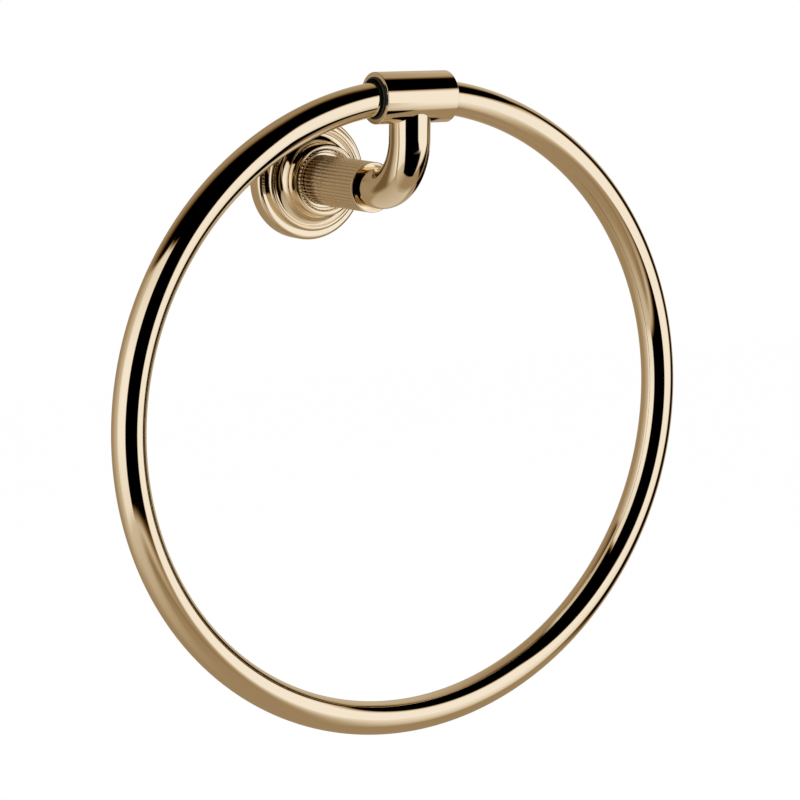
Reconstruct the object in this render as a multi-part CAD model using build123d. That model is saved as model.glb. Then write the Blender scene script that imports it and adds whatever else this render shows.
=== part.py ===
# Towel ring: a round bar hangs through a short sleeve on an elbow arm, held on a wall rosette.
# Sizes are in millimetres. While a piece is shaped, x runs along the wall, y is up and z comes out of it.
import os
from math import asin, cos, sqrt

from build123d import *

# Ring: solid round bar bent to a circle, its sawn ends facing each other inside the sleeve
ring_bar_d = 10.0
ring_centre_r = 93.0
ring_end_gap = 6.0

# Hanging point: the sleeve's axis above the collar's axis, and the ring's plane in front of the wall
hang_height = 28.0
hang_reach = 60.0

# Sleeve and its two plastic bushes
sleeve_d = 15.2
sleeve_length = 24.6
sleeve_wall = 1.4
sleeve_edge_round = 0.2
bush_length = 6.2
bush_proud = 0.5
bush_edge_round = 0.3
bush_mouth_flare = 0.5
ring_bush_clear = 0.15

# Arm: one round section, bent once, with a spigot in the sleeve and a shouldered tenon at the wall end
arm_d = 12.2
arm_bend_r = 16.0
spigot_d = 6.0
peg_d = 4.4
peg_rise = 3.5
tenon_d = 10.0
key_d = 8.0
key_flat = 3.0
key_clear = 0.05
key_short = 0.5

# Fluted collar, clamped between the arm's shoulder and the rosette
collar_d = 15.2
collar_front = 40.6
collar_recess_depth = 2.2
collar_lip_wall = 0.7
collar_lip_length = 1.0
collar_lip_round = 0.3
flute_count = 42
flute_r = 0.8
flute_depth = 0.16

# Rosette, turned in steps from the wall outwards and hollow behind
rosette_d = 38.0
rosette_wall = 2.4
rim_side = 4.1
rim_round = 1.2
step_r = 16.2
step_out = 7.5
step_round = 1.0
step_drop = 0.4
neck_r = 11.1
neck_out = 13.4
bead_width = 2.0
bead_rise = 0.4
groove_out = 11.9
seat_ring_r = 8.6
seat_ring_out = 12.5
seat_ring_round = 0.3
collar_seat_out = 11.5
collar_seat_clear = 0.1
web_thick = 2.3
cavity_r = 8.4

# Wall plate with two countersunk holes, and the grub screw that holds the rosette on it
plate_thick = 4.0
plate_clear = 0.2
wall_screw_spacing = 21.0
wall_screw_hole_d = 4.4
wall_screw_sink_d = 8.4
grub_d = 3.0
grub_socket_depth = 1.4
grub_clear = 0.1
grub_inset = 0.2
grub_edge = 0.3
grub_hex = 1.5
grub_hex_depth = 1.6

# Screw and washer behind the rosette's web, which pull arm, collar and rosette together
screw_d = 5.0
screw_engaged = 12.0
screw_tap_extra = 1.0
screw_head_d = 8.5
screw_head_h = 3.5
screw_head_round = 0.4
screw_hex = 4.0
screw_hex_depth = 2.0
washer_d = 15.0
washer_thick = 1.0
washer_clear = 0.1

ring_bar_r = ring_bar_d / 2
sleeve_r = sleeve_d / 2
sleeve_bore_r = sleeve_r - sleeve_wall
sleeve_half = sleeve_length / 2
arm_r = arm_d / 2
collar_r = collar_d / 2
rosette_r = rosette_d / 2
pocket_r = rosette_r - rosette_wall
plate_r = pocket_r - plate_clear
web_back = collar_seat_out - web_thick
ledge_out = rim_side + rim_round
step_crest_r = step_r - step_round
cove_foot_r = step_crest_r - sqrt(step_round**2 - (step_round - step_drop) ** 2)
cove_foot_out = step_out - step_drop
cove_round = cove_foot_r - neck_r
groove_r = neck_r - bead_width
arm_shoulder = collar_front - collar_recess_depth
key_end = web_back + key_short
bush_inner_end = sleeve_half + bush_proud - bush_length
bush_outer_end = sleeve_half + bush_proud
bush_middle = (bush_inner_end + bush_outer_end) / 2
ring_drop = sqrt(ring_centre_r**2 - bush_middle**2)
ring_centre_up = hang_height - ring_drop

hanging_point = Pos(0, hang_height, hang_reach)


def turned_out(*lines):
    """A solid turned about the collar's axis, from its half outline in radius and distance from the wall."""
    edges = [edge for line in lines for edge in line.edges()]
    return revolve(Plane.XZ * make_face(edges), Axis.Z)


def turned_along(*lines):
    """A solid turned about the sleeve's axis, from its half outline in distance along it and radius."""
    edges = [edge for line in lines for edge in line.edges()]
    return hanging_point * revolve(make_face(edges), Axis.X)


def from_wall(start, end, shape):
    """A flat shape carried straight out from one distance from the wall to another."""
    return extrude(Pos(0, 0, start) * shape, amount=end - start, dir=(0, 0, 1))


def upright(radius, low, high, out):
    """A round bar standing up at a given distance from the wall."""
    return Pos(0, (low + high) / 2, out) * Rot(90, 0, 0) * Cylinder(radius, high - low)


# Ring: the bar's circle lies in one plane; a straight saw cut at the top leaves the end gap
ring_loop = Torus(ring_centre_r, ring_bar_r)
ring_cut = Pos(0, ring_centre_r, 0) * Box(ring_end_gap, 4 * ring_bar_r, 4 * ring_bar_r)
ring = Pos(0, ring_centre_up, hang_reach) * (ring_loop - ring_cut)

# Sleeve: tube with eased end edges and one hole below for the arm's spigot
sleeve_blank = turned_along(
    Line((-sleeve_half, sleeve_bore_r), (sleeve_half, sleeve_bore_r)),
    Line((sleeve_half, sleeve_bore_r), (sleeve_half, sleeve_r - sleeve_edge_round)),
    RadiusArc(
        (sleeve_half, sleeve_r - sleeve_edge_round),
        (sleeve_half - sleeve_edge_round, sleeve_r),
        -sleeve_edge_round,
    ),
    Line((sleeve_half - sleeve_edge_round, sleeve_r), (sleeve_edge_round - sleeve_half, sleeve_r)),
    RadiusArc(
        (sleeve_edge_round - sleeve_half, sleeve_r),
        (-sleeve_half, sleeve_r - sleeve_edge_round),
        -sleeve_edge_round,
    ),
    Line((-sleeve_half, sleeve_r - sleeve_edge_round), (-sleeve_half, sleeve_bore_r)),
)
spigot_hole = upright(spigot_d / 2, hang_height - 2 * sleeve_r, hang_height, hang_reach)
ring_sleeve = sleeve_blank - spigot_hole

# Bushes: they stand proud of the sleeve; the bore narrows to a rounded throat for the slanting bar
bush_throat_r = ring_bar_r / cos(asin(bush_middle / ring_centre_r)) + ring_bush_clear
bush_mouth_r = bush_throat_r + bush_mouth_flare
bush_right = turned_along(
    ThreePointArc(
        (bush_inner_end, bush_mouth_r), (bush_middle, bush_throat_r), (bush_outer_end, bush_mouth_r)
    ),
    Line((bush_outer_end, bush_mouth_r), (bush_outer_end, sleeve_bore_r - bush_edge_round)),
    RadiusArc(
        (bush_outer_end, sleeve_bore_r - bush_edge_round),
        (bush_outer_end - bush_edge_round, sleeve_bore_r),
        -bush_edge_round,
    ),
    Line((bush_outer_end - bush_edge_round, sleeve_bore_r), (bush_inner_end, sleeve_bore_r)),
    Line((bush_inner_end, sleeve_bore_r), (bush_inner_end, bush_mouth_r)),
)
bush_left = mirror(bush_right, Plane.YZ)

# Arm: bent bar, coped to the sleeve; the spigot's peg stands in the ring's end gap
arm_path = Plane.YZ * (
    Line((hang_height, hang_reach), (arm_bend_r, hang_reach))
    + RadiusArc((arm_bend_r, hang_reach), (0, hang_reach - arm_bend_r), -arm_bend_r)
    + Line((0, hang_reach - arm_bend_r), (0, arm_shoulder))
)
arm_section = Plane(origin=(0, hang_height, hang_reach), z_dir=(0, -1, 0)) * Circle(arm_r)
arm_bar = sweep(arm_section, path=arm_path)
sleeve_envelope = hanging_point * Rot(0, 90, 0) * Cylinder(sleeve_r, 4 * arm_d)
spigot = upright(spigot_d / 2, hang_height - sleeve_r - arm_r, hang_height - sleeve_bore_r, hang_reach)
peg = upright(peg_d / 2, hang_height - sleeve_r, hang_height + peg_rise, hang_reach)
tenon = from_wall(collar_seat_out, arm_shoulder, Circle(tenon_d / 2))
key_waste = Pos(0, key_flat + key_d / 2, 0) * Rectangle(2 * key_d, key_d)
key = from_wall(key_end, collar_seat_out, Circle(key_d / 2) - key_waste)
tapped_hole = from_wall(key_end, key_end + screw_engaged + screw_tap_extra, Circle(screw_d / 2))
arm = (arm_bar - sleeve_envelope) + spigot + peg + tenon + key - tapped_hole

# Collar: straight flutes from the rosette to a plain rounded lip, which stands clear of the arm
flute_place_r = collar_r - flute_depth + flute_r
flutes = PolarLocations(flute_place_r, flute_count) * Circle(flute_r)
fluted = from_wall(collar_seat_out, collar_front - collar_lip_length, Circle(collar_r) - flutes)
lip = turned_out(
    Line((0, collar_front - collar_lip_length), (collar_r, collar_front - collar_lip_length)),
    Line((collar_r, collar_front - collar_lip_length), (collar_r, collar_front - collar_lip_round)),
    RadiusArc(
        (collar_r, collar_front - collar_lip_round),
        (collar_r - collar_lip_round, collar_front),
        -collar_lip_round,
    ),
    Line((collar_r - collar_lip_round, collar_front), (0, collar_front)),
    Line((0, collar_front), (0, collar_front - collar_lip_length)),
)
collar_bore = from_wall(collar_seat_out, arm_shoulder, Circle(tenon_d / 2))
collar_recess = from_wall(arm_shoulder, collar_front, Circle(collar_r - collar_lip_wall))
reeded_collar = fluted + lip - collar_bore - collar_recess

# Rosette: rim, ledge, half-round step, cove, neck and bead, then the collar's seat ring and the hollow back
seat_r = collar_r + collar_seat_clear
rosette_blank = turned_out(
    Line((pocket_r, 0), (rosette_r, 0)),
    Line((rosette_r, 0), (rosette_r, rim_side)),
    RadiusArc((rosette_r, rim_side), (rosette_r - rim_round, ledge_out), -rim_round),
    Line((rosette_r - rim_round, ledge_out), (step_r, ledge_out)),
    Line((step_r, ledge_out), (step_r, step_out - step_round)),
    ThreePointArc((step_r, step_out - step_round), (step_crest_r, step_out), (cove_foot_r, cove_foot_out)),
    RadiusArc((cove_foot_r, cove_foot_out), (neck_r, cove_foot_out + cove_round), cove_round),
    Line((neck_r, cove_foot_out + cove_round), (neck_r, neck_out)),
    ThreePointArc((neck_r, neck_out), ((neck_r + groove_r) / 2, neck_out + bead_rise), (groove_r, neck_out)),
    Line((groove_r, neck_out), (groove_r, groove_out)),
    Line((groove_r, groove_out), (seat_ring_r, groove_out)),
    Line((seat_ring_r, groove_out), (seat_ring_r, seat_ring_out - seat_ring_round)),
    RadiusArc(
        (seat_ring_r, seat_ring_out - seat_ring_round),
        (seat_ring_r - seat_ring_round, seat_ring_out),
        -seat_ring_round,
    ),
    Line((seat_ring_r - seat_ring_round, seat_ring_out), (seat_r, seat_ring_out)),
    Line((seat_r, seat_ring_out), (seat_r, collar_seat_out)),
    Line((seat_r, collar_seat_out), (0, collar_seat_out)),
    Line((0, collar_seat_out), (0, web_back)),
    Line((0, web_back), (cavity_r, web_back)),
    Line((cavity_r, web_back), (cavity_r, plate_thick)),
    Line((cavity_r, plate_thick), (pocket_r, plate_thick)),
    Line((pocket_r, plate_thick), (pocket_r, 0)),
)
keyway_waste = Pos(0, key_flat + key_clear + key_d, 0) * Rectangle(4 * key_d, 2 * key_d)
keyway = from_wall(web_back, collar_seat_out, Circle(key_d / 2 + key_clear) - keyway_waste)
grub_out = plate_thick / 2
grub_hole = upright(grub_d / 2, -rosette_d, -cavity_r, grub_out)
rosette = rosette_blank - keyway - grub_hole

# Wall plate: disc under the rosette, with the grub screw's flat-bottomed socket in its rim
grub_seat = plate_r - grub_socket_depth
plate_disc = from_wall(0, plate_thick, Circle(plate_r))
sink_depth = (wall_screw_sink_d - wall_screw_hole_d) / 2
wall_screw_hole = turned_out(
    Polyline(
        (0, 0),
        (wall_screw_hole_d / 2, 0),
        (wall_screw_hole_d / 2, plate_thick - sink_depth),
        (wall_screw_sink_d / 2, plate_thick),
        (0, plate_thick),
        (0, 0),
    )
)
grub_socket = upright(grub_d / 2 + grub_clear, -rosette_d, -grub_seat, grub_out)
wall_plate = plate_disc - grub_socket
for side in (-1, 1):
    wall_plate = wall_plate - Pos(side * wall_screw_spacing / 2, 0, 0) * wall_screw_hole

# Grub screw: up through the rosette's side wall, its flat end on the socket's floor
grub_low = -(rosette_r - grub_inset)
grub_body = upright(grub_d / 2, grub_low, -grub_seat, grub_out)
grub_body = chamfer(grub_body.edges().filter_by(GeomType.CIRCLE), grub_edge)
grub_key_plane = Plane(origin=(0, grub_low, grub_out), z_dir=(0, 1, 0))
grub_key_hole = extrude(grub_key_plane * RegularPolygon(grub_hex / 2, 6, major_radius=False), grub_hex_depth)
rosette_grub_screw = grub_body - grub_key_hole

# Washer and screw: they bear on the back of the web and draw the tenon home
washer_face = Circle(washer_d / 2) - Circle(screw_d / 2 + washer_clear)
arm_washer = from_wall(web_back - washer_thick, web_back, washer_face)
head_front = web_back - washer_thick
head_back = head_front - screw_head_h
screw_head = from_wall(head_back, head_front, Circle(screw_head_d / 2))
screw_head = fillet(screw_head.edges().filter_by(GeomType.CIRCLE).sort_by(Axis.Z)[0], screw_head_round)
screw_shank = from_wall(head_front, key_end + screw_engaged, Circle(screw_d / 2))
screw_socket_face = RegularPolygon(screw_hex / 2, 6, major_radius=False)
screw_socket = from_wall(head_back, head_back + screw_hex_depth, screw_socket_face)
arm_screw = screw_head + screw_shank - screw_socket

# Each piece is set on the wall and written to a file of its own
pieces = {
    "ring": ring,
    "ring_sleeve": ring_sleeve,
    "bush_left": bush_left,
    "bush_right": bush_right,
    "arm": arm,
    "reeded_collar": reeded_collar,
    "rosette": rosette,
    "wall_plate": wall_plate,
    "rosette_grub_screw": rosette_grub_screw,
    "arm_washer": arm_washer,
    "arm_screw": arm_screw,
}
os.makedirs("parts", exist_ok=True)
for name, piece in pieces.items():
    export_step(Plane.XZ * piece, f"parts/{name}.step")
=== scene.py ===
from math import acos, asin, atan2, cos, degrees, hypot, pi, radians, sin, sqrt

import bmesh
import bpy
from mathutils import Matrix, Vector


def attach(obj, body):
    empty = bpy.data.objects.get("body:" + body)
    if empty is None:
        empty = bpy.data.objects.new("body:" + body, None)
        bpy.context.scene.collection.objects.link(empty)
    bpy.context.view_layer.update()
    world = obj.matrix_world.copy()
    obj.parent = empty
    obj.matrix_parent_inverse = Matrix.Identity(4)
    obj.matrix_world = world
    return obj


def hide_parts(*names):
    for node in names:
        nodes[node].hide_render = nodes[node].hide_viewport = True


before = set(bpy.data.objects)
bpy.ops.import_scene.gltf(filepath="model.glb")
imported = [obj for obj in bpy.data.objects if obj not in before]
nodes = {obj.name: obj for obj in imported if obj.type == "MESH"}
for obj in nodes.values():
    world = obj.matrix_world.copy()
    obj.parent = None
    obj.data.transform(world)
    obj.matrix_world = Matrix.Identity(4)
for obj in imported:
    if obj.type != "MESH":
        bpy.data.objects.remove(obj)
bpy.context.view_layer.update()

mm = 0.001


# Wall plate and fixings: a turned steel disc screwed to the wall, the grub screw that holds the rosette on
# it, and the screw and washer that draw the arm home. Zinc plated, with the lathe's rings left on the faces.
class Wire:
    """One output socket in a node tree; sums, differences and products of wires add Math nodes."""

    def __init__(self, tree, socket=None):
        self.tree = tree
        self.socket = socket

    def node(self, kind, settings, inputs, output=0):
        """A node of any kind: its settings are set first, then its sockets are filled or linked."""
        made = self.tree.nodes.new(kind)
        for name, value in settings.items():
            setattr(made, name, value)
        for name, value in inputs.items():
            if isinstance(value, Wire):
                self.tree.links.new(value.socket, made.inputs[name])
            else:
                made.inputs[name].default_value = value
        return Wire(self.tree, made.outputs[output])

    def math(self, operation, *values):
        return self.node("ShaderNodeMath", {"operation": operation}, dict(enumerate(values)))

    def __add__(self, other):
        return self.math("ADD", self, other)

    def __sub__(self, other):
        return self.math("SUBTRACT", self, other)

    def __mul__(self, other):
        return self.math("MULTIPLY", self, other)

    def __truediv__(self, other):
        return self.math("DIVIDE", self, other)

    def __rsub__(self, other):
        return self.math("SUBTRACT", other, self)

    __radd__ = __add__
    __rmul__ = __mul__

    def fade(self, start, end):
        """0 before start, 1 after end and a smooth rise between them."""
        ends = {"From Min": start, "From Max": end}
        return self.node("ShaderNodeMapRange", {"interpolation_type": "SMOOTHSTEP"}, {"Value": self, **ends})

    def mix(self, first, second):
        """A colour that goes from first to second as this wire goes from 0 to 1."""
        return self.node("ShaderNodeMix", {"data_type": "RGBA"}, {0: self, 6: first, 7: second}, 2)

    def axis(self, name):
        """One coordinate, X, Y or Z, of a wire that carries a place."""
        return self.node("ShaderNodeSeparateXYZ", {}, {0: self}, name)

    def scaled(self, factors):
        """A place drawn out or pressed together along x, y and z."""
        return self.node("ShaderNodeVectorMath", {"operation": "MULTIPLY"}, {0: self, 1: factors})

    def noise(self, scale, detail):
        """Cloudy noise at a place."""
        return self.node("ShaderNodeTexNoise", {}, {"Vector": self, "Scale": scale, "Detail": detail})

    def bump(self, strength, depth):
        """A surface normal with this wire as the height."""
        return self.node("ShaderNodeBump", {}, {"Strength": strength, "Distance": depth, "Height": self})


def new_material(name):
    """An empty material with its shader, its wires and the place on the object in metres."""
    material = bpy.data.materials.new(name)
    material.use_nodes = True
    shader = material.node_tree.nodes["Principled BSDF"]
    wires = Wire(material.node_tree)
    place = wires.node("ShaderNodeTexCoord", {}, {}, "Object")
    return material, shader, wires, place


def feed(wires, shader, **sockets):
    """Links wires to the shader's sockets, named with underscores for spaces."""
    for name, wire in sockets.items():
        wires.tree.links.new(wire.socket, shader.inputs[name.replace("_", " ")])


def zinc_plating():
    """Grey plating, a little cloudy, over fine rings round the plate's axis."""
    dark_zinc, pale_zinc = (0.46, 0.47, 0.49, 1), (0.66, 0.67, 0.68, 1)
    lathe_rate = 21000.0
    lathe_depth = 0.01 * mm
    plain_rough, cloud_rough, speck_rough = 0.26, 0.14, 0.06
    material, shader, wires, place = new_material("zinc_plating")
    shader.inputs["Metallic"].default_value = 1.0
    x, z = place.axis("X"), place.axis("Z")
    rings = wires.math("SINE", wires.math("SQRT", x * x + z * z) * lathe_rate)
    cloud = place.noise(260.0, 4.0)
    speck = place.noise(2400.0, 2.0)
    feed(
        wires,
        shader,
        Base_Color=cloud.mix(dark_zinc, pale_zinc),
        Roughness=plain_rough + cloud * cloud_rough + speck * speck_rough,
        Normal=(rings + speck).bump(0.25, lathe_depth),
    )
    return material


plating = zinc_plating()
for name in ("wall_plate", "rosette_grub_screw", "arm_screw", "arm_washer"):
    nodes[name].data.materials.clear()
    nodes[name].data.materials.append(plating)


# Rosette: brass turned in one piece, from a plain rim over a half-round step and a cove to a beaded neck,
# hollow behind, polished all over and plated champagne gold. It slips over the wall plate.
def straight(*corners):
    """Corners joined by straight lines, as they stand."""
    return list(corners)


def bow(first, middle, last, count=24):
    """Points on the circle's arc from first through middle to last."""
    (ax, ay), (bx, by), (cx, cy) = first, middle, last
    d = 2 * (ax * (by - cy) + bx * (cy - ay) + cx * (ay - by))
    a2, b2, c2 = ax * ax + ay * ay, bx * bx + by * by, cx * cx + cy * cy
    ox = (a2 * (by - cy) + b2 * (cy - ay) + c2 * (ay - by)) / d
    oy = (a2 * (cx - bx) + b2 * (ax - cx) + c2 * (bx - ax)) / d
    radius = hypot(ax - ox, ay - oy)
    start = atan2(ay - oy, ax - ox)
    turn_middle = (atan2(by - oy, bx - ox) - start) % (2 * pi)
    turn = (atan2(cy - oy, cx - ox) - start) % (2 * pi)
    if turn_middle > turn:
        turn -= 2 * pi
    angles = [start + turn * i / count for i in range(count + 1)]
    return [(ox + radius * cos(a), oy + radius * sin(a)) for a in angles]


def rounded(before, after, corner, count=8):
    """A quarter round that replaces a square corner, from the point before it to the one after it."""
    centre = (before[0] + after[0] - corner[0], before[1] + after[1] - corner[1])
    reach = hypot(before[0] - centre[0], before[1] - centre[1])
    away = hypot(corner[0] - centre[0], corner[1] - centre[1])
    middle = tuple(centre[i] + (corner[i] - centre[i]) * reach / away for i in (0, 1))
    return bow(before, middle, after, count)


def outline(*runs):
    """Runs of points joined into one closed outline, without points that repeat."""
    same_point = 1e-6
    points = []
    for point in (p for run in runs for p in run):
        if not points or hypot(point[0] - points[-1][0], point[1] - points[-1][1]) > same_point:
            points.append(point)
    if hypot(points[0][0] - points[-1][0], points[0][1] - points[-1][1]) < same_point:
        points.pop()
    return points


def net(rows, closed=True):
    """Points and quads of a skin whose rows are closed loops; the last row joins the first if closed."""
    width = len(rows[0])
    points = [point for row in rows for point in row]
    faces = []
    for i in range(len(rows) if closed else len(rows) - 1):
        j = (i + 1) % len(rows)
        for k in range(width):
            m = (k + 1) % width
            faces.append((i * width + k, i * width + m, j * width + m, j * width + k))
    return points, faces


def capped(rows):
    """Points and faces of a skin whose first and last row are closed by a flat face each."""
    width = len(rows[0])
    points, faces = net(rows, closed=False)
    faces += [tuple(range(width)), tuple(range(len(points) - width, len(points)))]
    return points, faces


def turned(points, place, steps):
    """An outline of (radius, along) turned round an axis; place sets a point by radius, along and angle."""
    angles = [2 * pi * k / steps for k in range(steps)]
    return net([[place(radius, along, angle) for angle in angles] for radius, along in points])


def out_of_wall(radius, along, angle):
    """A place round the axis that stands out of the wall."""
    return Vector((radius * cos(angle), -along, radius * sin(angle))) * mm


def keyed(key_reach, flat):
    """A place for turned points, cut flat on top as far out as the key reaches."""

    def place(radius, along, angle):
        point = out_of_wall(radius, along, angle)
        if radius <= key_reach:
            point.z = min(point.z, flat * mm)
        return point

    return place


def sewn(name, points, faces):
    """An object whose faces are joined at their edges and look outwards."""
    same_corner = 1e-7
    mesh = bpy.data.meshes.new(name)
    mesh.from_pydata(points, [], faces)
    bench = bmesh.new()
    bench.from_mesh(mesh)
    bmesh.ops.remove_doubles(bench, verts=bench.verts, dist=same_corner)
    bmesh.ops.recalc_face_normals(bench, faces=bench.faces)
    bench.to_mesh(mesh)
    bench.free()
    work = bpy.data.objects.new(name, mesh)
    bpy.context.scene.collection.objects.link(work)
    return work


def drilled(skin, bit_points, bit_faces):
    """A skin with the room of a drill bit, another skin, cut out of it."""
    blank = sewn("blank", *skin)
    bit = sewn("bit", bit_points, bit_faces)
    cut = blank.modifiers.new("drill", "BOOLEAN")
    cut.operation = "DIFFERENCE"
    cut.solver = "EXACT"
    cut.object = bit
    left = blank.evaluated_get(bpy.context.evaluated_depsgraph_get()).to_mesh()
    points = [corner.co.copy() for corner in left.vertices]
    faces = [tuple(face.vertices) for face in left.polygons]
    for spent in (blank, bit):
        bpy.data.meshes.remove(spent.data)
    return points, faces


def make_piece(name, skins, body, slot, material, crease, *replaced):
    """One object from closed skins of points and faces, smooth except at creases, riding on its body."""
    points, faces = [], []
    for skin_points, skin_faces in skins:
        first = len(points)
        points += skin_points
        faces += [tuple(first + corner for corner in face) for face in skin_faces]
    work = sewn(name, points, faces)
    mesh = work.data
    mesh.shade_smooth()
    mesh.set_sharp_from_angle(angle=radians(crease))
    mesh.materials.append(material)
    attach(work, body)
    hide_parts(*replaced)


def champagne_plating(name, stretch, flutes=0, flutes_end=0.0):
    """Mirror-polished plating, left hazy over any flutes, up to their end, with painted shade in the bottom
    of each, most of all, in dark brown, at the flutes' root. Stretch draws the faint polishing marks out
    along x, y and z."""
    deep_gold, pale_gold = (0.905, 0.785, 0.605, 1), (0.93, 0.812, 0.632, 1)
    mark_depth = 0.004 * mm
    polish_rough, cloud_rough, mark_rough = 0.03, 0.015, 0.02
    material, shader, wires, place = new_material(name)
    shader.inputs["Metallic"].default_value = 1.0
    marks = place.scaled(stretch).noise(900.0, 5.0)
    cloud = place.noise(45.0, 3.0)
    colour = cloud.mix(deep_gold, pale_gold)
    roughness = polish_rough + cloud * cloud_rough + marks.fade(0.5, 0.75) * mark_rough
    if flutes:
        # Painted shade: the colour darkens in each flute's bottom, and to dark brown towards the flutes'
        # root by the rosette.
        flute_shade_gold, root_shade_brown = (0.5, 0.38, 0.25, 1), (0.05, 0.035, 0.02, 1)
        haze_edge = 0.1
        haze_inside, haze_outside = 7.0, 7.2
        haze_rough = 0.22
        root_end, root_start = 27, 12
        flute_shade_share, root_shade_share = 0.55, 0.4
        x, y, z = place.axis("X"), place.axis("Y"), place.axis("Z")
        fluted = y.fade(-flutes_end * mm, (haze_edge - flutes_end) * mm)
        fluted = fluted * wires.math("SQRT", x * x + z * z).fade(haze_inside * mm, haze_outside * mm)
        bottom = wires.math("COSINE", wires.math("ARCTAN2", z, x) * float(flutes))
        root = y.fade(-root_end * mm, -root_start * mm)
        painted_shade = root.mix(flute_shade_gold, root_shade_brown)
        colour = (fluted * bottom.fade(-0.2, 1.0) * (flute_shade_share + root * root_shade_share)).mix(colour, painted_shade)
        roughness = roughness + fluted * haze_rough
    feed(
        wires,
        shader,
        Base_Color=colour,
        Roughness=roughness,
        Normal=marks.bump(0.06, mark_depth),
    )
    return material


rosette_r = 19.0
pocket_r = 16.6
pocket_depth = 4.0
cavity_r = 8.4
web_back = 9.2
seat_r = 7.7
seat_out = 11.5
key_r = 4.05
key_flat = 3.0
key_clear = 0.05
rim_side = 4.1
ledge_out = 5.3
step_r = 16.2
step_out = 7.5
step_round = 1.0
cove_foot_r = 14.4
cove_foot_out = 7.1
neck_r = 11.1
neck_foot = 10.4
neck_out = 13.4
bead_rise = 0.4
groove_r = 9.1
groove_out = 11.9
seat_ring_r = 8.6
seat_ring_out = 12.5
seat_ring_round = 0.3
rim_top_r = rosette_r - ledge_out + rim_side
rosette_outline = outline(
    straight((key_r, web_back), (cavity_r, web_back), (cavity_r, pocket_depth)),
    straight((pocket_r, pocket_depth), (pocket_r, 0), (rosette_r, 0)),
    rounded((rosette_r, rim_side), (rim_top_r, ledge_out), (rosette_r, ledge_out), 16),
    straight((step_r, ledge_out)),
    bow((step_r, step_out - step_round), (step_r - step_round, step_out), (cove_foot_r, cove_foot_out)),
    rounded((cove_foot_r, cove_foot_out), (neck_r, neck_foot), (neck_r, cove_foot_out), 32),
    bow((neck_r, neck_out), ((neck_r + groove_r) / 2, neck_out + bead_rise), (groove_r, neck_out)),
    straight((groove_r, groove_out), (seat_ring_r, groove_out)),
    rounded(
        (seat_ring_r, seat_ring_out - seat_ring_round),
        (seat_ring_r - seat_ring_round, seat_ring_out),
        (seat_ring_r, seat_ring_out),
    ),
    straight((seat_r, seat_ring_out), (seat_r, seat_out), (key_r, seat_out)),
)
grub_r = 1.5
grub_out = 2.0
bit_spare = 1
bit_low, bit_high = -rosette_r - bit_spare, bit_spare - pocket_r


def up_through_rim(radius, along, angle):
    """A place round the grub screw's axis, which stands upright in the rim."""
    return Vector((radius * cos(angle), radius * sin(angle) - grub_out, along)) * mm


rosette_steps = 288
hole_steps = 48
sharp_crease = 24
bit_outline = [(0, bit_low), (grub_r, bit_low), (grub_r, bit_high), (0, bit_high)]
rosette_skin = turned(rosette_outline, keyed(key_r, key_flat + key_clear), rosette_steps)
make_piece(
    "rosette_turned",
    [drilled(rosette_skin, *turned(bit_outline, up_through_rim, hole_steps))],
    "holder",
    "polished_champagne",
    champagne_plating("champagne_on_rosette", (1.0, 1.0, 1.0)),
    sharp_crease,
    "rosette",
)


# Collar: brass bar bored through and cut with straight flutes, which stop at a plain rounded lip.
# It is clamped between the rosette's seat and the arm's shoulder, and the lip stands clear of the arm.
collar_r = 7.6
collar_back = 11.5
collar_front = 40.6
lip_length = 1.0
lip_round = 0.3
lip_wall = 0.7
recess_floor = 38.4
bore_r = 5.0
flute_count = 42
flute_r = 0.8
flute_depth = 0.16
flute_steps = 14
flutes_end = collar_front - lip_length
wide_crease = 30
cutter_r = collar_r - flute_depth + flute_r
flute_half = acos((collar_r**2 + cutter_r**2 - flute_r**2) / (2 * collar_r * cutter_r))


def fluted_radius(turn):
    """The fluted skin's radius at an angle from the middle of a flute."""
    if abs(turn) >= flute_half:
        return collar_r
    return cutter_r * cos(turn) - sqrt(flute_r**2 - (cutter_r * sin(turn)) ** 2)


across_flute = [flute_half * (2 * step / flute_steps - 1) for step in range(flute_steps + 1)]
flute_turns = [2 * pi * flute / flute_count + turn for flute in range(flute_count) for turn in across_flute]
flute_radii = [fluted_radius(turn) for turn in across_flute] * flute_count


def fluted_row(along):
    """The fluted skin's outline, at a distance from the wall."""
    return [out_of_wall(r, along, turn) for r, turn in zip(flute_radii, flute_turns)]


def plain_row(radius, along):
    """A circle with as many points as the fluted outline, at a distance from the wall."""
    return [out_of_wall(radius, along, turn) for turn in flute_turns]


lip_outline = outline(
    straight((collar_r, flutes_end)),
    rounded(
        (collar_r, collar_front - lip_round),
        (collar_r - lip_round, collar_front),
        (collar_r, collar_front),
    ),
    straight((collar_r - lip_wall, collar_front), (collar_r - lip_wall, recess_floor)),
    straight((bore_r, recess_floor), (bore_r, collar_back)),
)
collar_rows = [fluted_row(collar_back), fluted_row(flutes_end)]
collar_rows += [plain_row(radius, along) for radius, along in lip_outline]
make_piece(
    "collar_fluted",
    [net(collar_rows)],
    "holder",
    "polished_champagne",
    champagne_plating("champagne_on_collar", (1.0, 0.1, 1.0), flute_count, flutes_end),
    wide_crease,
    "reeded_collar",
)


# Arm: a round brass bar bent once to an elbow, coped to the sleeve's underside and brazed there,
# with a spigot and peg inside the sleeve and a shouldered tenon that the screw pulls to the wall.
arm_r = 6.1
arm_bend = 16.0
hang_height = 28.0
hang_reach = 60.0
sleeve_r = 7.6
sleeve_bore = 6.2
cope_gap = 0.05
arm_steps = 96
elbow_steps = 64
tenon_steps = 64
peg_steps = 48
core_r = 0.01
spigot_r = 3.0
peg_r = 2.2
peg_rise = 3.5
key_end = 9.7
tap_r = 2.5
tap_end = 22.7


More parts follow.
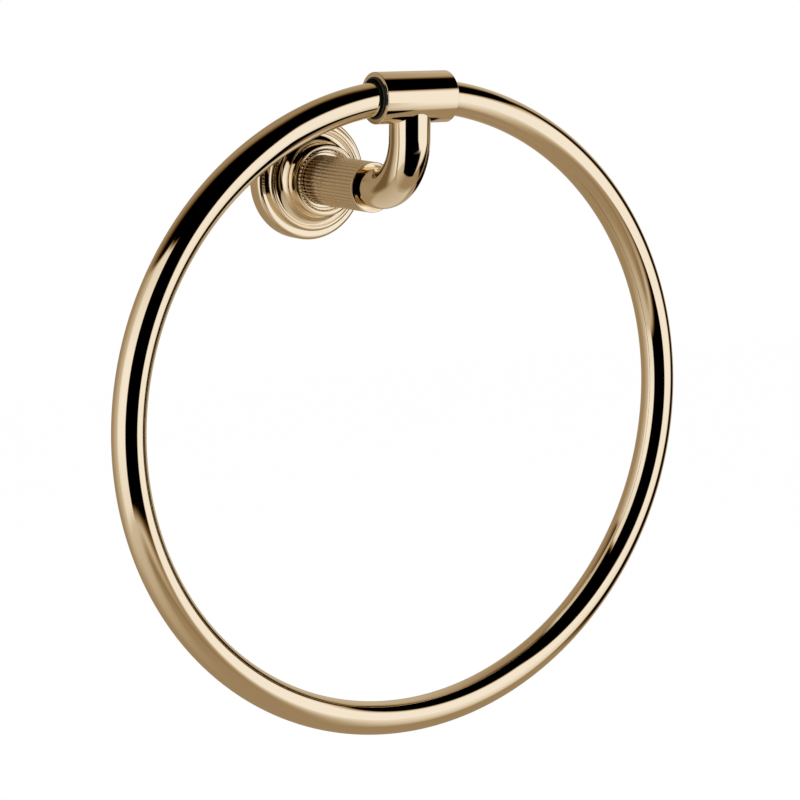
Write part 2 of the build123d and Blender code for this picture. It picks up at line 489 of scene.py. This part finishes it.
def arm_row(distance_up, distance_out, slope):
    """A round section of the arm; slope turns it from level, at the sleeve, to upright, at the collar."""
    row = []
    for k in range(arm_steps):
        turn = 2 * pi * k / arm_steps
        across, away = arm_r * cos(turn), arm_r * sin(turn)
        row.append(Vector((across, -distance_out - away * cos(slope), distance_up - away * sin(slope))) * mm)
    return row


def coped_row():
    """The arm's upper end, cut to lie on the sleeve."""
    row = arm_row(0, hang_reach, 0)
    for point in row:
        away = point.y / mm + hang_reach
        point.z = (hang_height - sqrt(sleeve_r**2 - away**2) + cope_gap) * mm
    return row


elbow = [pi / 2 * i / elbow_steps for i in range(elbow_steps + 1)]
arm_rows = [coped_row()]
arm_rows += [
    arm_row(arm_bend - arm_bend * sin(a), hang_reach - arm_bend + arm_bend * cos(a), a) for a in elbow
]
arm_rows += [arm_row(0, recess_floor, pi / 2)]


def on_post(radius, along, angle):
    """A place round the upright axis of the arm's upper end."""
    return Vector((radius * cos(angle), -hang_reach + radius * sin(angle), along)) * mm


tenon_outline = [
    (tap_r, key_end),
    (key_r - key_clear, key_end),
    (key_r - key_clear, seat_out),
    (bore_r, seat_out),
    (bore_r, recess_floor),
    (core_r, recess_floor),
    (core_r, tap_end),
    (tap_r, tap_end),
]
peg_outline = [
    (core_r, hang_height - sleeve_r),
    (spigot_r, hang_height - sleeve_r),
    (spigot_r, hang_height - sleeve_bore),
    (peg_r, hang_height - sleeve_bore),
    (peg_r, hang_height + peg_rise),
    (core_r, hang_height + peg_rise),
]
tenon_skin = turned(tenon_outline, keyed(key_r - key_clear, key_flat), tenon_steps)
peg_skin = turned(peg_outline, on_post, peg_steps)
make_piece(
    "arm_elbow",
    [capped(arm_rows), tenon_skin, peg_skin],
    "holder",
    "polished_champagne",
    champagne_plating("champagne_on_arm", (1.0, 1.0, 0.15)),
    wide_crease,
    "arm",
)


# Sleeve: a short brass tube with rounded end edges, across the top of the arm. The ring passes through it.
# Its bore is lined at both ends by black bushes, and a hole below takes the arm's spigot.
sleeve_half = 12.3
sleeve_round = 0.2
sleeve_steps = 192


def along_sleeve(radius, along, angle):
    """A place round the sleeve's axis, which lies level."""
    return Vector((along, -hang_reach + radius * cos(angle), hang_height + radius * sin(angle))) * mm


sleeve_outline = outline(
    straight((sleeve_bore, -sleeve_half)),
    rounded(
        (sleeve_r - sleeve_round, -sleeve_half),
        (sleeve_r, sleeve_round - sleeve_half),
        (sleeve_r, -sleeve_half),
    ),
    rounded(
        (sleeve_r, sleeve_half - sleeve_round),
        (sleeve_r - sleeve_round, sleeve_half),
        (sleeve_r, sleeve_half),
    ),
    straight((sleeve_bore, sleeve_half)),
)
spigot_room = [
    (0, hang_height - 2 * sleeve_r),
    (spigot_r, hang_height - 2 * sleeve_r),
    (spigot_r, hang_height),
    (0, hang_height),
]
sleeve_skin = turned(sleeve_outline, along_sleeve, sleeve_steps)
make_piece(
    "sleeve_tube",
    [drilled(sleeve_skin, *turned(spigot_room, on_post, hole_steps))],
    "holder",
    "polished_champagne",
    champagne_plating("champagne_on_sleeve", (0.15, 1.0, 1.0)),
    sharp_crease,
    "ring_sleeve",
)


# Bushes: moulded black plastic rings pressed into the sleeve's ends, a little proud of them.
# Each bore narrows to a rounded throat, which carries the ring's bar without a rattle.
bush_inner = 6.6
bush_outer = 12.8
bush_throat = 5.177
bush_mouth = 5.677
bush_round = 0.3
bush_middle = (bush_inner + bush_outer) / 2
bush_steps = 128


def moulded_black():
    """Black plastic with the fine grain of its mould."""
    deep_black, soft_black = (0.006, 0.006, 0.006, 1), (0.012, 0.0115, 0.011, 1)
    grain_depth = 0.01 * mm
    plain_rough, grain_rough = 0.34, 0.12
    material, shader, wires, place = new_material("moulded_black")
    shader.inputs["Specular IOR Level"].default_value = 0.3
    grain = place.noise(3200.0, 3.0)
    cloud = place.noise(220.0, 2.0)
    feed(
        wires,
        shader,
        Base_Color=cloud.mix(deep_black, soft_black),
        Roughness=plain_rough + grain * grain_rough,
        Normal=grain.bump(0.3, grain_depth),
    )
    return material


bush_black = moulded_black()
for side, name in ((-1, "bush_left"), (1, "bush_right")):
    bush_outline = outline(
        bow(
            (bush_mouth, side * bush_inner),
            (bush_throat, side * bush_middle),
            (bush_mouth, side * bush_outer),
        ),
        rounded(
            (sleeve_bore - bush_round, side * bush_outer),
            (sleeve_bore, side * (bush_outer - bush_round)),
            (sleeve_bore, side * bush_outer),
        ),
        straight((sleeve_bore, side * bush_inner)),
    )
    make_piece(
        name + "_moulded",
        [turned(bush_outline, along_sleeve, bush_steps)],
        "holder",
        "bush_black",
        bush_black,
        sharp_crease,
        name,
    )


# Ring: round brass bar bent to a full circle, its two sawn ends hidden in the sleeve either side of the peg.
# It hangs and swings in the bushes.
ring_r = 93.0
bar_r = 5.0
end_gap = 6.0
ring_drop = sqrt(ring_r**2 - bush_middle**2)
ring_steps = 480
bar_steps = 72


def ring_row(share):
    """A round section of the bar, at a share of the way round from one sawn end to the other."""
    row = []
    for k in range(bar_steps):
        turn = 2 * pi * k / bar_steps
        reach = ring_r + bar_r * cos(turn)
        end = asin(end_gap / 2 / reach)
        round_ring = end + (2 * pi - 2 * end) * share
        x, z = reach * sin(round_ring), hang_height - ring_drop + reach * cos(round_ring)
        row.append(Vector((x, -hang_reach + bar_r * sin(turn), z)) * mm)
    return row


make_piece(
    "ring_bar",
    [capped([ring_row(i / ring_steps) for i in range(ring_steps + 1)])],
    "ring",
    "polished_champagne",
    champagne_plating("champagne_on_ring", (1.0, 1.0, 1.0)),
    wide_crease,
    "ring",
)


# Stage: a pale floor a metre below the hanging ring and a plain white room round it, lit by two soft panels.
# The camera sees floor and room; the polished metal mirrors the tent of the next section instead.
floor_height = -1.1
floor_half = 6.0
floor_glow = 0.8
ring_centre = Vector((0, -hang_reach, hang_height - ring_drop)) * mm


def light_path(wires):
    """1 for what the camera sees directly, in a mirror or through glass, and 0 for light on its way."""
    camera = wires.node("ShaderNodeLightPath", {}, {}, "Is Camera Ray")
    mirror = wires.node("ShaderNodeLightPath", {}, {}, "Is Glossy Ray")
    through = wires.node("ShaderNodeLightPath", {}, {}, "Is Transmission Ray")
    return wires.math("MAXIMUM", wires.math("MAXIMUM", camera, mirror), through)


def show(material, seen):
    """Makes a shader of its own what a material shows."""
    output = material.node_tree.nodes["Material Output"]
    material.node_tree.links.new(seen.socket, output.inputs["Surface"])


def pale_floor():
    """Matt white that keeps its shadows, lifted towards plain white for whoever looks at it."""
    material, shader, wires, _ = new_material("pale_floor")
    shader.inputs["Base Color"].default_value = (0.97, 0.968, 0.965, 1)
    shader.inputs["Roughness"].default_value = 0.9
    glow = wires.node("ShaderNodeEmission", {}, {"Color": (1, 1, 1, 1), "Strength": 1.0})
    lit = Wire(material.node_tree, shader.outputs[0])
    seen = wires.node("ShaderNodeMixShader", {}, {0: light_path(wires) * floor_glow, 1: lit, 2: glow})
    show(material, seen)
    return material


floor_points = [
    Vector((x * floor_half, y * floor_half, floor_height)) for x, y in ((-1, -1), (1, -1), (1, 1), (-1, 1))
]
floor_mesh = bpy.data.meshes.new("floor")
floor_mesh.from_pydata(floor_points, [], [(0, 1, 2, 3)])
floor_mesh.materials.append(pale_floor())
floor = bpy.data.objects.new("floor", floor_mesh)
bpy.context.scene.collection.objects.link(floor)

world = bpy.data.worlds.new("white_room")
bpy.context.scene.world = world
world.use_nodes = True
backdrop = world.node_tree.nodes["Background"]
backdrop.inputs["Color"].default_value = (1, 1, 1, 1)
backdrop.inputs["Strength"].default_value = 1.0


# Studio tent: warm boards and black cloth close round the object, with a large soft lamp at left and right.
# Only the polished metal sees it. Directions are degrees from straight in front, to the right and up.
tent_reach = 0.8
tent_squash = 0.8
tent_shift = Vector((0.05, -0.15, 0.1))
tent_rings = 48
tent_sides = 96


def warm_light(material, wires, level, share=1.0):
    """Makes a material glow: white at level 1, warmer and darker below it, and clear where share is 0."""
    red_power, green_power, blue_power = 0.82, 1.04, 1.42
    level = wires.math("MAXIMUM", level, 0.0)
    tints = [wires.math("POWER", level, power) for power in (red_power, green_power, blue_power)]
    colour = wires.node("ShaderNodeCombineColor", {}, dict(enumerate(tints)))
    glow = wires.node("ShaderNodeEmission", {}, {"Color": colour, "Strength": 1.0})
    clear = wires.node("ShaderNodeBsdfTransparent", {}, {})
    seen = wires.node("ShaderNodeMixShader", {}, {0: share, 1: clear, 2: glow})
    show(material, seen)
    return material


def tent_cloth():
    """The tent's light by direction. Each fade is an edge, between the degrees where it starts and ends, and
    the factor after a glow or a tone says how much light it adds or takes away."""
    board_level = 0.28
    lamp_level = 0.98
    stretch = (1, 1, 1 / tent_squash)
    material, _, wires, place = new_material("tent_cloth")
    way = wires.node("ShaderNodeVectorMath", {"operation": "NORMALIZE"}, {0: place.scaled(stretch)})
    x, y, z = way.axis("X"), way.axis("Y"), way.axis("Z")
    right = wires.math("ARCTAN2", x, 0 - y) * degrees(1)
    up = wires.math("ARCSINE", z) * degrees(1)

    # Table top, lit by the lamps, and the boards behind.
    table_glow = right.fade(-150, -96) * (1 - right.fade(-80, -40)) * up.fade(-80, -44)
    table_front = right.fade(-64, -40) * (1 - right.fade(5, 25)) * up.fade(-62, -44)
    table = board_level + table_glow * 0.27 - table_front * 0.08
    boards = board_level + right.fade(-160, -108) * 0.31 * (1 - right.fade(-20, 20))
    boards = boards + right.fade(90, 110) * (1 - right.fade(130, 178)) * 0.13
    back_glow = right.fade(118, 150) * (1 - right.fade(150, 178)) * up.fade(-30, -5) * (1 - up.fade(30, 55))
    boards = boards + back_glow * 0.14
    boards = boards * (1 - up.fade(55, 84))
    above = up.fade(-50, -40)
    level = table * (1 - above) + boards * above

    # Left lamp, brightest in its middle.
    corner = wires.math("MAXIMUM", -96 - right, 0.0) * 0.45
    left_lamp = right.fade(-118, -112) * (1 - right.fade(-70, -64)) * up.fade(-43, -37)
    left_lamp = left_lamp * (1 - (up + corner).fade(36.5, 40.5))
    left_tone = lamp_level - up.fade(0, 36) * 0.15 - (1 - up.fade(-40, -16)) * 0.12
    left_tone = left_tone - (1 - right.fade(-116, -98)) * 0.1
    level = level * (1 - left_lamp) + left_tone * left_lamp

    # Right lamp, which fades into its glow on the table.
    inset = 27 * (1 - up.fade(-28, -18))
    slant = wires.math("MAXIMUM", -12 - up, 0.0) * 0.65
    right_lamp = (right - inset).fade(-8, 14) * (1 - (right + slant).fade(82, 97))
    right_lamp = right_lamp * (1 - up.fade(28, 42)) * up.fade(-84, -22)
    level = level * (1 - right_lamp) + lamp_level * right_lamp

    # Black cloth in front, with a hem that rises to the right, overhead and down the right side.
    hem = wires.math("MAXIMUM", (right + 68) / 92, 0.0)
    hem = hem * hem * hem * 10
    edge = wires.math("MAXIMUM", -4 - up, 0.0) * 0.62
    front_cloth = right.fade(-69, -64.5) * (1 - (right - edge).fade(10.5, 15.5)) * (up - hem).fade(-43, -37)
    top_cloth = (up + corner).fade(37.5, 42) * right.fade(-168, -124) * (1 - right.fade(112, 138))
    lean = wires.math("ABSOLUTE", up) * 0.25
    side_cloth = (right + slant).fade(86, 97) * (1 - (right + lean).fade(117, 131))
    side_cloth = side_cloth * up.fade(-54, -47) * (1 - up.fade(44, 54))
    cloth = wires.math("MAXIMUM", front_cloth, top_cloth)
    cloth = wires.math("MAXIMUM", wires.math("MAXIMUM", cloth, side_cloth), up.fade(66, 83))
    return warm_light(material, wires, level * (1 - cloth))


def tent_row(tilt):
    """A level ring of the tent's squashed ball, at an angle above its middle."""
    radius, rise = tent_reach * cos(tilt), tent_reach * tent_squash * sin(tilt)
    angles = [2 * pi * k / tent_sides for k in range(tent_sides)]
    return [Vector((radius * cos(angle), radius * sin(angle), rise)) for angle in angles]


tent_rows = [tent_row(pi * i / tent_rings - pi / 2) for i in range(1, tent_rings)]


def hang(name, points, faces, material, place):
    """A piece of the studio that only mirrors see."""
    mesh = bpy.data.meshes.new(name)
    mesh.from_pydata(points, [], faces)
    mesh.materials.append(material)
    piece = bpy.data.objects.new(name, mesh)
    piece.location = place
    piece.visible_camera = False
    piece.visible_diffuse = False
    piece.visible_shadow = False
    piece.visible_transmission = False
    bpy.context.scene.collection.objects.link(piece)


hang("tent", *capped(tent_rows), tent_cloth(), ring_centre + tent_shift)


# Small cards by the elbow: black ones in front of it and at its right, a dark one at its left, whose dim
# glow is painted shade, and a pale one under it, whose glow is painted light from below. Their edges are
# frayed, so that they fade out in the mirror.
def frayed_card(name, across, deep, high, fray, left_level, right_level):
    """A card between two places each on x, y and z in mm, with one place alone on the axis that it faces."""
    material, _, wires, place = new_material(name)
    level = left_level
    if right_level != left_level:
        rightward = place.axis("X").fade(across[0] * mm, across[1] * mm)
        level = level + rightward * (right_level - left_level)
    share = 1.0
    for axis, ends in (("X", across), ("Y", deep), ("Z", high)):
        if len(ends) == 2:
            along = place.axis(axis)
            start, end = ends[0] * mm, ends[1] * mm
            share = share * along.fade(start, start + fray * mm) * (1 - along.fade(end - fray * mm, end))
    points = [Vector((x, y, z)) * mm for x in across for y in deep for z in high]
    hang(name, points, [(0, 1, 3, 2)], warm_light(material, wires, level, share), Vector())


black, dark_brown, tan, pale_tan = 0.0, 0.12, 0.38, 0.62
frayed_card("black_card", (-27, 14), (-80,), (-27, 8.5), 4, black, black)
# Painted light under the elbow, and painted shade at its left.
frayed_card("pale_light_card", (-48, 24), (-66, -16), (-25,), 10, tan, pale_tan)
frayed_card("left_shade_card", (-22,), (-54, -22), (-18, 26), 10, dark_brown, dark_brown)
frayed_card("right_card", (16,), (-62, -44), (-10, 12), 3, black, black)


# Soft panels: two area lamps, one at the left and one in front at the right, for the floor and the matt
# pieces. The polished metal doesn't mirror them.
panel_size = 1.4
panel_distance = 2.0


def direction(right, up):
    """A way out from the object, by degrees from straight in front, to the right and up."""
    right, up = radians(right), radians(up)
    return Vector((sin(right) * cos(up), -cos(right) * cos(up), sin(up)))


for name, panel_right, panel_up, power in (("key_panel", -85, 10, 26.0), ("fill_panel", 45, 8, 14.0)):
    panel = bpy.data.lights.new(name, "AREA")
    panel.shape = "SQUARE"
    panel.size = panel_size
    panel.energy = power
    lamp = bpy.data.objects.new(name, panel)
    away = direction(panel_right, panel_up)
    lamp.location = ring_centre + away * panel_distance
    lamp.rotation_euler = away.to_track_quat("Z", "Y").to_euler()
    lamp.visible_glossy = False
    bpy.context.scene.collection.objects.link(lamp)


# Camera: from the front left, a little above the ring's middle, as the photograph was taken.
# The focal length is in pixels of the photograph, the angles in degrees, the distance in mm from the aim.
photo_side = 800
focal_pixels = 3239.0
camera_right = -32.9
camera_up = 8.9
camera_roll = 0.6
camera_distance = 957.9
aim_shift = Vector((-2.4, 0, 3.2))
aim = ring_centre + aim_shift * mm
back = direction(camera_right, camera_up)
level = Vector((0, 0, 1)).cross(back).normalized()
upright = back.cross(level)
roll = radians(camera_roll)
sideways = level * cos(roll) + upright * sin(roll)
overhead = upright * cos(roll) - level * sin(roll)
lens = bpy.data.cameras.new("camera")
lens.sensor_width = 36.0
lens.lens = lens.sensor_width * focal_pixels / photo_side
camera = bpy.data.objects.new("camera", lens)
camera_turn = Matrix((sideways, overhead, back)).transposed().to_4x4()
camera.matrix_world = Matrix.Translation(aim + back * camera_distance * mm) @ camera_turn
bpy.context.scene.collection.objects.link(camera)
bpy.context.scene.camera = camera
bpy.context.scene.view_settings.view_transform = "Standard"
